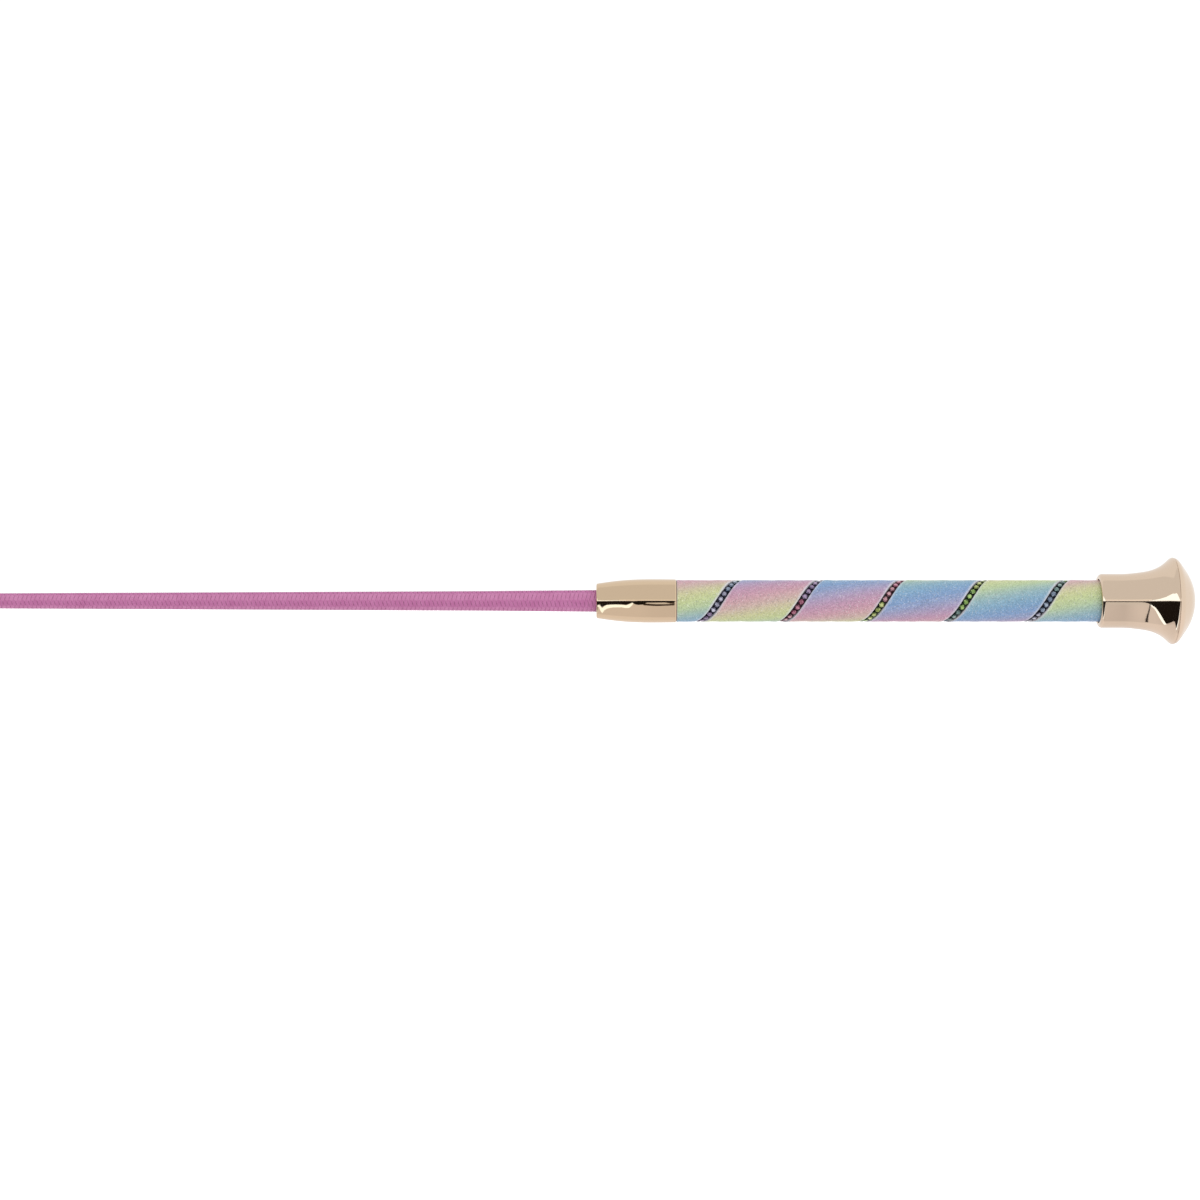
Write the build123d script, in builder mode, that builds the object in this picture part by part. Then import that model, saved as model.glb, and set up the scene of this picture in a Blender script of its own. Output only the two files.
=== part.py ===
from build123d import *
import math
import os

# A dressage whip, the long kind of riding crop, in millimetres.
# It lies along X, with the cap at +X, the lash at -X and +Z up.
# The origin is on the whip's axis, in the middle of the exposed grip.

os.makedirs("parts", exist_ok=True)

# ---------------------------------------------------------------- driving dimensions

# Whole whip
WHIP_LENGTH = 1000.0
GRIP_LENGTH = 183.0
FERRULE_LENGTH = 34.7
CAP_LENGTH = 41.8
LASH_LENGTH = 44.7
JOIN_GAP = 0.05

# Shaft: a tapered rod inside a plaited cover of even thickness
COVER_TAPER = 0.0045
COVER_WALL = 0.65
COVER_BUTT_R = 4.8
COVER_SWELL_R = 4.35
SWELL_LENGTH = 49.0
COVER_TUCK = 13.0
WHIPPING_WALL = 0.7
WHIPPING_LENGTH = 8.0
WHIPPING_INSET = 1.0
TIP_WHIPPING_LENGTH = 14.0
TIP_WHIPPING_WALL = 0.45

# Grip: the crystal band is a spiral gap between the turns of the wrap
TUBE_R = 7.5
TUBE_GAP = 1.0
WRAP_R = 9.0
WRAP_IN_CAP = 10.0
BAND_PITCH = 35.5
BAND_FRONT_X = -2.0
BAND_GAP = 3.05
BAND_OVERLAP = 1.02
TAPE_WIDTH = 2.85
TAPE_WALL = 0.3

# Crystals and their settings, eight-sided
SIDES = 8
CRYSTAL_SPACING = 2.84
CRYSTAL_R = 1.20
CRYSTAL_TABLE_R = 0.74
CRYSTAL_BACK_R = 0.35
CRYSTAL_CROWN = 0.40
CRYSTAL_GIRDLE = 0.06
CRYSTAL_PAVILION = 0.38
CUP_R = 1.33
CUP_POCKET_R = 1.25
CUP_FLOOR = 0.13
CUP_HEIGHT = 0.66
END_MARGIN = 1.6
COLOUR_TURNS = 1.28
COLOUR_AT_FRONT = 0.70
COLOURS = ["violet", "lavender", "blue", "teal", "green", "yellow", "rose", "pink"]

# Ferrule
FERRULE_NOSE_R = 7.5
FERRULE_REAR_R = 9.38
FERRULE_NOSE_SLOPE = 0.178
FERRULE_REAR_SLOPE = -0.012
# Outline as (distance behind the nose, radius)
FERRULE_OUTLINE = [(4.0, 8.13), (10.2, 8.88), (18.0, 9.38), (25.0, 9.47)]
FERRULE_LIP = 2.4
FERRULE_CAVITY_R = 6.4
FERRULE_CLEARANCE = 0.1
FERRULE_ROUND = 0.7

# Cap
CAP_BORE_R = 9.5
CAP_COLLAR_R = 11.75
CAP_COLLAR = 9.6
CAP_MOUTH_ROUND = 1.6
CAP_BORE_ROUND = 0.5
CAP_RIM_R = 18.9
CAP_RIM = 32.4
# Flare's outline as (distance behind the mouth, radius)
CAP_FLARE = [(17.5, 12.35), (22.7, 13.3), (26.7, 14.95), (30.0, 17.45)]
CAP_RECESS_R = 15.2
CAP_RECESS = 2.6
CAP_STEP_R = 14.2
CAP_FLOOR_R = 10.8
CAP_WEB = 2.4
TUBE_IN_CAP = 20.0
DOME_EDGE_R = 18.75
# Dome's outline as (distance behind the rim, radius)
DOME_OUTLINE = [(3.4, 16.0), (6.0, 12.2), (8.4, 7.0)]
DOME_CAVITY_R = 13.8
DOME_CAVITY = 7.8
SCREW_R = 1.9
SCREW_LENGTH = 15.0
SCREW_CLEARANCE = 0.2
SCREW_HEAD_R = 3.6
SCREW_HEAD = 2.2
SCREW_SLOT = 0.9
PLUG_LENGTH = 23.0

# Lash
LASH_R = 1.1
LASH_CORD = 24.0
LASH_GAP = 0.3
KNOT_R = 2.1
TASSEL_NECK_R = 1.5
TASSEL_NECK = 3.0
TASSEL_END_R = 3.4

# ---------------------------------------------------------------- places worked out from them

GRIP_FRONT_X = -GRIP_LENGTH / 2
GRIP_REAR_X = GRIP_LENGTH / 2
NOSE_X = GRIP_FRONT_X - FERRULE_LENGTH
CAP_END_X = GRIP_REAR_X + CAP_LENGTH
RIM_X = GRIP_REAR_X + CAP_RIM
LASH_END_X = CAP_END_X - WHIP_LENGTH
TIP_X = LASH_END_X + LASH_LENGTH
SWELL_X = NOSE_X - SWELL_LENGTH
COVER_END_X = NOSE_X + COVER_TUCK
TUBE_START_X = COVER_END_X + TUBE_GAP
TUBE_END_X = GRIP_REAR_X + TUBE_IN_CAP
WRAP_START_X = GRIP_FRONT_X + JOIN_GAP
WRAP_END_X = GRIP_REAR_X + WRAP_IN_CAP
WEB_X = TUBE_END_X + CAP_WEB
LASH_PIVOT_X = TIP_X - LASH_GAP - LASH_R
KNOT_X = LASH_PIVOT_X - LASH_CORD
ROD_R = COVER_BUTT_R - COVER_WALL
ROD_END_X = TUBE_END_X - PLUG_LENGTH
TIP_R = COVER_SWELL_R - COVER_TAPER * (SWELL_X - TIP_X)


def keep(part, label):
    """Names a finished piece and writes it."""
    part.label = label
    export_step(part, "parts/" + label + ".step")


# ---------------------------------------------------------------- shaft

# Fibreglass rod, thicker where it enters the handle and parallel inside it
with BuildPart() as core_rod:
    with BuildSketch(Plane.XY):
        with BuildLine():
            Polyline(
                (TIP_X, 0),
                (TIP_X, TIP_R - COVER_WALL),
                (SWELL_X, COVER_SWELL_R - COVER_WALL),
                (NOSE_X, ROD_R),
                (ROD_END_X, ROD_R),
                (ROD_END_X, 0),
                close=True,
            )
        make_face()
    revolve(axis=Axis.X)
keep(core_rod.part, "core_rod")

# Plaited cover as a tube on the rod, which ends inside the ferrule
with BuildPart() as braided_cover:
    with BuildSketch(Plane.XY):
        with BuildLine():
            Polyline(
                (TIP_X, TIP_R - COVER_WALL),
                (TIP_X, TIP_R),
                (SWELL_X, COVER_SWELL_R),
                (NOSE_X, COVER_BUTT_R),
                (COVER_END_X, COVER_BUTT_R),
                (COVER_END_X, ROD_R),
                (NOSE_X, ROD_R),
                (SWELL_X, COVER_SWELL_R - COVER_WALL),
                close=True,
            )
        make_face()
    revolve(axis=Axis.X)
keep(braided_cover.part, "braided_cover")

# Thread binding over the cover's end, hidden in the ferrule
with BuildPart() as butt_whipping:
    with BuildSketch(Plane.YZ.offset(COVER_END_X - WHIPPING_LENGTH - WHIPPING_INSET)):
        Circle(COVER_BUTT_R + WHIPPING_WALL)
        Circle(COVER_BUTT_R, mode=Mode.SUBTRACT)
    extrude(amount=WHIPPING_LENGTH)
    rims = butt_whipping.edges().filter_by(GeomType.CIRCLE).sort_by(SortBy.RADIUS)[-2:]
    fillet(rims, WHIPPING_WALL / 3)
keep(butt_whipping.part, "butt_whipping")

# Thread binding over the cover at the tip, which holds the lash
with BuildPart() as tip_whipping:
    binding_x = TIP_X + TIP_WHIPPING_LENGTH
    binding_r = TIP_R + COVER_TAPER * TIP_WHIPPING_LENGTH
    with BuildSketch(Plane.XY):
        with BuildLine():
            Polyline(
                (TIP_X, TIP_R),
                (TIP_X, TIP_R + TIP_WHIPPING_WALL),
                (binding_x, binding_r + TIP_WHIPPING_WALL),
                (binding_x, binding_r),
                close=True,
            )
        make_face()
    revolve(axis=Axis.X)
    rims = tip_whipping.edges().filter_by(GeomType.CIRCLE).sort_by(SortBy.RADIUS)[-2:]
    fillet(rims, TIP_WHIPPING_WALL / 3)
keep(tip_whipping.part, "tip_whipping")

# ---------------------------------------------------------------- handle

# Moulded handle core that the rod is glued into
with BuildPart() as handle_tube:
    with BuildSketch(Plane.YZ.offset(TUBE_START_X)):
        Circle(TUBE_R)
        Circle(ROD_R, mode=Mode.SUBTRACT)
    extrude(amount=TUBE_END_X - TUBE_START_X)
keep(handle_tube.part, "handle_tube")

# Plug in the handle core's end, with the cap screw's pilot hole
with BuildPart() as butt_plug:
    with BuildSketch(Plane.YZ.offset(ROD_END_X)):
        Circle(ROD_R)
    extrude(amount=PLUG_LENGTH)
    with Locations(Plane.YZ.offset(TUBE_END_X)):
        Hole(SCREW_R, depth=SCREW_LENGTH)
keep(butt_plug.part, "butt_plug")

# Barrel ferrule: it widens from the nose and levels out towards its rear.
# It fits the handle core at the rear, and its nose closes down to the plaited cover.
with BuildPart() as ferrule:
    with BuildSketch(Plane.XY):
        with BuildLine():
            nose = (NOSE_X, FERRULE_NOSE_R)
            rear = (GRIP_FRONT_X, FERRULE_REAR_R)
            Spline(
                nose,
                *[(NOSE_X + distance, radius) for distance, radius in FERRULE_OUTLINE],
                rear,
                tangents=((1, FERRULE_NOSE_SLOPE), (1, FERRULE_REAR_SLOPE)),
            )
            Polyline(
                rear,
                (GRIP_FRONT_X, TUBE_R),
                (TUBE_START_X, TUBE_R),
                (NOSE_X + FERRULE_LIP, FERRULE_CAVITY_R),
                (NOSE_X + FERRULE_LIP, COVER_BUTT_R + FERRULE_CLEARANCE),
                (NOSE_X, COVER_BUTT_R + FERRULE_CLEARANCE),
                nose,
            )
        make_face()
    revolve(axis=Axis.X)
    nose_edge = ferrule.edges().group_by(Axis.X)[0].sort_by(SortBy.RADIUS)[-1]
    rear_edge = ferrule.edges().group_by(Axis.X)[-1].sort_by(SortBy.RADIUS)[-1]
    fillet([nose_edge, rear_edge], FERRULE_ROUND)
keep(ferrule.part, "ferrule")

# ---------------------------------------------------------------- wrap and crystal band


def band_angle(x):
    """How far round the band is at x, in degrees: 0 at the front (-Y), 90 at the top (+Z)."""
    return 360 * (x - BAND_FRONT_X) / BAND_PITCH


def band_strip(start_x, length, middle_r, width, thickness):
    """A flat strip wound along the band's helix. A helix starts at the top, so it is turned to start_x."""
    with BuildPart() as strip:
        with BuildLine() as spiral:
            Helix(
                pitch=BAND_PITCH,
                height=length,
                radius=middle_r,
                center=(start_x, 0, 0),
                direction=(1, 0, 0),
                lefthand=True,
            )
        path = spiral.edge()
        start = path @ 0
        with BuildSketch(Plane(origin=start, x_dir=(0, start.Y, start.Z), z_dir=path % 0)):
            Rectangle(thickness, width)
        sweep(path=path, is_frenet=True)
    return Rot(X=90 - band_angle(start_x)) * strip.part


# One turn of the gap, a little over a turn long so that the next one meets it
gap_start_x = BAND_FRONT_X + BAND_PITCH / 4
gap_length = BAND_OVERLAP * BAND_PITCH
gap_turn = band_strip(gap_start_x, gap_length, (TUBE_R + WRAP_R) / 2, BAND_GAP, 2 * (WRAP_R - TUBE_R))
first_turn = math.floor((WRAP_START_X - gap_start_x) / BAND_PITCH)
last_turn = math.ceil((WRAP_END_X - gap_start_x) / BAND_PITCH)

# Wrap: one strip of glitter material round the handle core, as a tube less the spiral gap
with BuildPart() as glitter_wrap:
    with BuildSketch(Plane.YZ.offset(WRAP_START_X)):
        Circle(WRAP_R)
        Circle(TUBE_R, mode=Mode.SUBTRACT)
    extrude(amount=WRAP_END_X - WRAP_START_X)
    for turn in range(first_turn, last_turn):
        with Locations((turn * BAND_PITCH, 0, 0)):
            add(gap_turn, mode=Mode.SUBTRACT)
keep(glitter_wrap.part, "glitter_wrap")

# Dark tape wound along the bottom of the gap
tape_start_x = WRAP_START_X + TAPE_WIDTH / 2
tape_length = WRAP_END_X - TAPE_WIDTH / 2 - tape_start_x
tape_middle_r = TUBE_R + JOIN_GAP + TAPE_WALL / 2
with BuildPart() as crystal_tape:
    add(band_strip(tape_start_x, tape_length, tape_middle_r, TAPE_WIDTH, TAPE_WALL))
keep(crystal_tape.part, "crystal_tape")

CUP_BASE_R = TUBE_R + TAPE_WALL + 2 * JOIN_GAP
CRYSTAL_BACK = CUP_FLOOR + JOIN_GAP
GIRDLE_R = CUP_BASE_R + CRYSTAL_BACK + CRYSTAL_PAVILION


def setting_plane(x):
    """The plane that a setting stands on: +Z outwards, +X along the band."""
    sine = math.sin(math.radians(band_angle(x)))
    cosine = math.cos(math.radians(band_angle(x)))
    along = (BAND_PITCH / math.tau, CUP_BASE_R * sine, CUP_BASE_R * cosine)
    foot = (x, -CUP_BASE_R * cosine, CUP_BASE_R * sine)
    return Plane(origin=foot, x_dir=along, z_dir=(0, -cosine, sine))


def colour_of(x):
    """The crystal's colour at x: the colours follow each other round the band, and repeat."""
    share = COLOUR_AT_FRONT + band_angle(x) / 360 / COLOUR_TURNS
    return COLOURS[round(share * len(COLOURS)) % len(COLOURS)]


def ring_of_corners(radius, height):
    """The corners of a level eight-sided ring."""
    corners = []
    for side in range(SIDES):
        angle = math.tau * side / SIDES
        corners.append((radius * math.cos(angle), radius * math.sin(angle), height))
    return corners


# Where each crystal sits, evenly spaced along the band, measured at the girdle
band_travel = math.hypot(BAND_PITCH, math.tau * GIRDLE_R)
crystal_step = BAND_PITCH * CRYSTAL_SPACING / band_travel
first_x = WRAP_START_X + END_MARGIN
crystal_count = math.floor((GRIP_REAR_X + END_MARGIN - first_x) / crystal_step) + 1
crystal_places = [first_x + crystal_step * number for number in range(crystal_count)]

# Settings: one open cup for each crystal
with BuildPart() as cup:
    with BuildSketch(Plane.XY):
        RegularPolygon(CUP_R, SIDES)
    extrude(amount=CUP_HEIGHT)
    with BuildSketch(Plane.XY.offset(CUP_FLOOR)):
        RegularPolygon(CUP_POCKET_R, SIDES)
    extrude(amount=CUP_HEIGHT, mode=Mode.SUBTRACT)

with BuildPart() as crystal_cups:
    with Locations(*[setting_plane(x) for x in crystal_places]):
        add(cup.part)
keep(crystal_cups.part, "crystal_cups")

# Crystals: table, eight crown facets, girdle and eight back facets
girdle_base = CRYSTAL_BACK + CRYSTAL_PAVILION
girdle_top = girdle_base + CRYSTAL_GIRDLE
crystal_corners = (
    ring_of_corners(CRYSTAL_BACK_R, CRYSTAL_BACK)
    + ring_of_corners(CRYSTAL_R, girdle_base)
    + ring_of_corners(CRYSTAL_R, girdle_top)
    + ring_of_corners(CRYSTAL_TABLE_R, girdle_top + CRYSTAL_CROWN)
)
for colour in COLOURS:
    with BuildPart() as crystals:
        with Locations(*[setting_plane(x) for x in crystal_places if colour_of(x) == colour]):
            ConvexPolyhedron(crystal_corners)
    keep(crystals.part, "crystals_" + colour)

# ---------------------------------------------------------------- cap

# Bell: a mouth that clears the wrap, a socket on the handle core, and a flare up to the rim
with BuildPart() as cap_bell:
    with BuildSketch(Plane.XY) as bell_profile:
        with BuildLine():
            collar_end = (GRIP_REAR_X + CAP_COLLAR, CAP_COLLAR_R)
            rim = (RIM_X, CAP_RIM_R)
            Spline(
                collar_end,
                *[(GRIP_REAR_X + distance, radius) for distance, radius in CAP_FLARE],
                rim,
                tangents=((1, 0), (1, 0)),
            )
            Polyline(
                rim,
                (RIM_X, CAP_RECESS_R),
                (RIM_X - CAP_RECESS, CAP_RECESS_R),
                (RIM_X - CAP_RECESS, CAP_STEP_R),
                (WEB_X, CAP_FLOOR_R),
                (WEB_X, SCREW_R + SCREW_CLEARANCE),
                (TUBE_END_X, SCREW_R + SCREW_CLEARANCE),
                (TUBE_END_X, TUBE_R),
                (WRAP_END_X + JOIN_GAP, TUBE_R),
                (WRAP_END_X + JOIN_GAP, CAP_BORE_R),
                (GRIP_REAR_X, CAP_BORE_R),
                (GRIP_REAR_X, CAP_COLLAR_R),
                collar_end,
            )
        make_face()
        mouth = bell_profile.vertices().group_by(Axis.X)[0].sort_by(Axis.Y)
        fillet(mouth[0], CAP_BORE_ROUND)
        fillet(bell_profile.vertices().group_by(Axis.X)[0].sort_by(Axis.Y)[-1], CAP_MOUTH_ROUND)
    revolve(axis=Axis.X)
keep(cap_bell.part, "cap_bell")

# Domed end disc with a skirt that fits the bell's recess
with BuildPart() as cap_dome:
    with BuildSketch(Plane.XY):
        with BuildLine():
            edge = (RIM_X + JOIN_GAP, DOME_EDGE_R)
            apex = (CAP_END_X, 0)
            cavity_apex = (RIM_X + DOME_CAVITY, 0)
            skirt = (RIM_X - CAP_RECESS + JOIN_GAP, CAP_RECESS_R - JOIN_GAP)
            Spline(
                edge,
                *[(RIM_X + distance, radius) for distance, radius in DOME_OUTLINE],
                apex,
                tangents=((1, 0), (0, -1)),
            )
            Line(apex, cavity_apex)
            TangentArc(cavity_apex, (RIM_X, DOME_CAVITY_R), tangent=(0, 1))
            Polyline(
                (RIM_X, DOME_CAVITY_R),
                (skirt[0], DOME_CAVITY_R),
                skirt,
                (RIM_X + JOIN_GAP, skirt[1]),
                edge,
            )
        make_face()
    revolve(axis=Axis.X)
keep(cap_dome.part, "cap_dome")

# Slotted screw through the bell's web into the plug
with BuildPart() as cap_screw:
    with BuildSketch(Plane.YZ.offset(WEB_X)):
        Circle(SCREW_HEAD_R)
    extrude(amount=SCREW_HEAD)
    fillet(cap_screw.edges().group_by(Axis.X)[-1], SCREW_HEAD / 3)
    with BuildSketch(Plane.YZ.offset(WEB_X + SCREW_HEAD)):
        Rectangle(3 * SCREW_HEAD_R, SCREW_SLOT)
    extrude(amount=-SCREW_HEAD / 2, mode=Mode.SUBTRACT)
    with BuildSketch(Plane.YZ.offset(TUBE_END_X - SCREW_LENGTH)):
        Circle(SCREW_R)
    extrude(amount=WEB_X - TUBE_END_X + SCREW_LENGTH)
keep(cap_screw.part, "cap_screw")

# ---------------------------------------------------------------- lash

# Short stiff cord with a round end in front of the tip, so that it can swing there
with BuildPart() as lash_cord:
    cord_end_x = KNOT_X + KNOT_R + LASH_GAP
    with BuildSketch(Plane.YZ.offset(cord_end_x)):
        Circle(LASH_R)
    extrude(amount=LASH_PIVOT_X - cord_end_x)
    with Locations((LASH_PIVOT_X, 0, 0)):
        Sphere(LASH_R)
keep(lash_cord.part, "lash_cord")

# Knot at the end of the cord
with BuildPart() as lash_knot:
    with Locations((KNOT_X, 0, 0)):
        Sphere(KNOT_R)
keep(lash_knot.part, "lash_knot")

# Tassel: a bound neck that opens into a bundle of thread ends
with BuildPart() as lash_tassel:
    neck_x = KNOT_X - KNOT_R - JOIN_GAP
    with BuildSketch(Plane.XY):
        with BuildLine():
            Polyline(
                (neck_x, 0),
                (neck_x, TASSEL_NECK_R),
                (neck_x - TASSEL_NECK, TASSEL_NECK_R),
                (LASH_END_X, TASSEL_END_R),
                (LASH_END_X, 0),
                close=True,
            )
        make_face()
    revolve(axis=Axis.X)
keep(lash_tassel.part, "lash_tassel")
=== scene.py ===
import math
import random

import bpy
import numpy as np
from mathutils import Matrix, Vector


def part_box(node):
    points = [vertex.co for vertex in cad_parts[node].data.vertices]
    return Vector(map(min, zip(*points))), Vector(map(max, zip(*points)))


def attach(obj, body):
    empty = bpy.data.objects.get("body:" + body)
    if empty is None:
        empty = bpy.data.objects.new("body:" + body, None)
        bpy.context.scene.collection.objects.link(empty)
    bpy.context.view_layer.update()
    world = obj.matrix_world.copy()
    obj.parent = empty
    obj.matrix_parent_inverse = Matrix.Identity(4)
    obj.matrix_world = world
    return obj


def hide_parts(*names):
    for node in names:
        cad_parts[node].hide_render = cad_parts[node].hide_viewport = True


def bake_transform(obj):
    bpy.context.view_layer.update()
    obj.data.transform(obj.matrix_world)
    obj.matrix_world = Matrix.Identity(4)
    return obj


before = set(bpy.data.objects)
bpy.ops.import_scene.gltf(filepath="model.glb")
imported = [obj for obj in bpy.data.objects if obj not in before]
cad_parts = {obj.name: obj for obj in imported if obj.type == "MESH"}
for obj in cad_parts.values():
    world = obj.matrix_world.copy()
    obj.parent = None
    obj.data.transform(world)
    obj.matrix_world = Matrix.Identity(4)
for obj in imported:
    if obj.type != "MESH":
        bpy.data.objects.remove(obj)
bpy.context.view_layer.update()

# A dressage whip: plaited shaft, gold ferrule and cap, glitter grip with a crystal band, lash.
# Lengths are in millimetres here, and become metres where a mesh is made.
MM = 0.001
random.seed(11)


def low_x(node):
    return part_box(node)[0].x / MM


def high_x(node):
    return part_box(node)[1].x / MM


# ---------- places read from the frame

NOSE_X = low_x("ferrule")
GRIP_FRONT_X = high_x("ferrule")
GRIP_REAR_X = low_x("cap_bell")
RIM_X = high_x("cap_bell")
CAP_END_X = high_x("cap_dome")
COVER_END_X = high_x("braided_cover")
TIP_X = low_x("braided_cover")
WRAP_START_X = low_x("glitter_wrap")
WRAP_END_X = high_x("glitter_wrap")
KNOT_X = (low_x("lash_knot") + high_x("lash_knot")) / 2
LASH_END_X = low_x("lash_tassel")
NECK_X = high_x("lash_tassel")
WHIPPING_END_X = high_x("tip_whipping")

# The same dimensions as in the CAD source
SWELL_LENGTH = 49.0
BUTT_R = 4.8
SWELL_R = 4.35
TAPER = 0.0045
SWELL_X = NOSE_X - SWELL_LENGTH
TIP_R = SWELL_R - TAPER * (SWELL_X - TIP_X)
TUBE_R = 7.5
WRAP_R = 9.0
PITCH = 35.5
BAND_X = -2.0
GAP = 3.05
CUP_BASE_R = 7.9
END_MARGIN = 1.6
SPACING = 2.84
GIRDLE_Z = 0.56
CRYSTAL_R = 1.20
COLOUR_TURNS = 1.28
COLOUR_AT_FRONT = 0.70
COLOURS = ["violet", "lavender", "blue", "teal", "green", "yellow", "rose", "pink"]


# ---------- camera, world, lights, floor

# Metres
FRAME_WIDTH = 0.5208
CAP_FROM_MIDDLE = 0.2579
CAMERA_HEIGHT = 0.0004

# Brightness of the tent on each side, and what is taken off it low down
FRONT_LEVEL = 0.865
BACK_LEVEL = 0.985
RIGHT_LEVEL = 1.06
BACKDROP_LEVEL = 1.1
FRONT_SHADE = -0.13
BACK_SHADE = -0.08
LEFT_SHADE = -0.11
LOW_WARMTH = (0.05, 0.02, 0.03)

scene = bpy.context.scene
scene.view_settings.view_transform = "Standard"

camera_data = bpy.data.cameras.new("camera")
camera_data.lens = 90
camera_data.sensor_width = 36
camera_data.clip_start = 0.01
camera_data.clip_end = 200
camera = bpy.data.objects.new("camera", camera_data)
scene.collection.objects.link(camera)
DISTANCE = FRAME_WIDTH * camera_data.lens / camera_data.sensor_width
camera.location = (CAP_END_X * MM - CAP_FROM_MIDDLE, -DISTANCE, CAMERA_HEIGHT)
camera.rotation_euler = (math.pi / 2, 0, 0)
scene.camera = camera

world = bpy.data.worlds.new("studio")
world.use_nodes = True
scene.world = world
tree = world.node_tree
tree.nodes.clear()


def world_node(kind, *values, **settings):
    """A world node with its settings, and its inputs linked or set in order."""
    node = tree.nodes.new(kind)
    for key, value in settings.items():
        setattr(node, key, value)
    for index, value in enumerate(values):
        if hasattr(value, "is_linked"):
            tree.links.new(value, node.inputs[index])
        elif value is not None:
            node.inputs[index].default_value = value
    return node.outputs[0]


def step_up(value, low, high):
    """0 below low and 1 above high."""
    return world_node("ShaderNodeMapRange", value, low, high, 0.0, 1.0)


def times(one, two):
    return world_node("ShaderNodeMath", one, two, operation="MULTIPLY")


def times_plus(one, two, three):
    return world_node("ShaderNodeMath", one, two, three, operation="MULTIPLY_ADD")


def between(first, second, factor):
    """first where the factor is 0, second where it is 1."""
    change = world_node("ShaderNodeMath", second, first, operation="SUBTRACT")
    return times_plus(change, factor, first)


# The tent is white behind the whip and to its right, a little greyer on the camera's side,
# and greyer still low on the right
direction = tree.nodes.new("ShaderNodeSeparateXYZ")
tree.links.new(tree.nodes.new("ShaderNodeTexCoord").outputs["Generated"], direction.inputs[0])
right, behind, up = direction.outputs
down = times(up, -1.0)
left = times(right, -1.0)
low_right = times(step_up(down, 0.0, 0.35), step_up(right, -0.04, 0.16))
front_level = times_plus(low_right, FRONT_SHADE, FRONT_LEVEL)
back_level = times_plus(low_right, BACK_SHADE, BACK_LEVEL)
level = between(front_level, back_level, step_up(behind, 0.09, 0.15))
level = between(level, RIGHT_LEVEL, step_up(right, 0.30, 0.42))

# Low down it is warmer, and darker to the left
low = step_up(down, 0.15, 0.5)
low_left = times(low, step_up(left, 0.25, 0.7))
level = times_plus(low_left, LEFT_SHADE, level)
warmth = world_node("ShaderNodeCombineColor", *[times_plus(low, gain, 1.0) for gain in LOW_WARMTH])
tent = world_node("ShaderNodeBackground", warmth, level)
backdrop = world_node("ShaderNodeBackground", (1, 1, 1, 1), BACKDROP_LEVEL)
seen = tree.nodes.new("ShaderNodeLightPath").outputs["Is Camera Ray"]
world_out = tree.nodes.new("ShaderNodeOutputWorld")
tree.links.new(world_node("ShaderNodeMixShader", seen, tent, backdrop), world_out.inputs["Surface"])


def area_light(name, place, target, size, power):
    """A soft studio light that polished metal doesn't show, in metres and watts."""
    data = bpy.data.lights.new(name, "AREA")
    data.shape = "RECTANGLE"
    data.size, data.size_y = size
    data.energy = power
    light = bpy.data.objects.new(name, data)
    scene.collection.objects.link(light)
    light.location = place
    aim = Vector(target) - light.location
    light.rotation_mode = "QUATERNION"
    light.rotation_quaternion = aim.to_track_quat("-Z", "Y")
    light.visible_glossy = False
    light.visible_camera = False


area_light("key", (-0.35, -1.9, 0.9), (-0.2, 0, 0), (2.4, 1.0), 4.5)


def emitter(name, colour, strength):
    """A material that glows evenly."""
    material = bpy.data.materials.new(name)
    material.use_nodes = True
    nodes = material.node_tree.nodes
    nodes.clear()
    end = nodes.new("ShaderNodeOutputMaterial")
    glow = nodes.new("ShaderNodeEmission")
    glow.inputs["Color"].default_value = (*colour, 1)
    glow.inputs["Strength"].default_value = strength
    material.node_tree.links.new(glow.outputs[0], end.inputs["Surface"])
    return material


def plain_mesh(name, points, faces, material):
    """An object of the studio's own, in metres."""
    mesh = bpy.data.meshes.new(name)
    mesh.from_pydata([tuple(p) for p in points], [], faces)
    mesh.materials.append(material)
    piece = bpy.data.objects.new(name, mesh)
    scene.collection.objects.link(piece)
    return piece


RUNG_STEP = 0.2
RUNG_POINTS = 13
CARD_DISTANCE = 12.0
SEAM_DISTANCE = 0.6


def studio_card(name, material, rungs, place):
    """A card that only shows in polished metal.

    It is a ladder: each rung has two ends, and place turns an end's numbers into a point.
    """
    fine = []
    for one, two in zip(rungs, rungs[1:]):
        for t in np.arange(0, 1, RUNG_STEP):
            fine.append(np.asarray(one) * (1 - t) + np.asarray(two) * t)
    fine.append(np.asarray(rungs[-1], float))
    width = RUNG_POINTS
    points = [place(*(one * (1 - t) + two * t)) for one, two in fine for t in np.linspace(0, 1, width)]
    faces = [(r * width + c, r * width + c + 1, (r + 1) * width + c + 1, (r + 1) * width + c)
             for r in range(len(fine) - 1) for c in range(width - 1)]
    piece = plain_mesh(name, points, faces, material)
    piece.visible_camera = False
    piece.visible_diffuse = False
    piece.visible_shadow = False
    piece.visible_transmission = False


def card(name, material, rungs, centre=(0, 0, 0), distance=CARD_DISTANCE):
    """A card seen from centre, with its rungs' ends as (tilt towards -X, height), in degrees.

    The height is an angle round the X axis, up from the front.
    """
    def place(tilt, height):
        tilt, height = math.radians(tilt), math.radians(height)
        return (
            centre[0] - math.sin(tilt) * distance,
            centre[1] - math.cos(tilt) * math.cos(height) * distance,
            centre[2] + math.cos(tilt) * math.sin(height) * distance,
        )
    studio_card(name, material, rungs, place)


def level_rungs(*ladder):
    """Rungs given as (tilt, one end's height, the other's)."""
    return [((tilt, one), (tilt, two)) for tilt, one, two in ladder]


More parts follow.
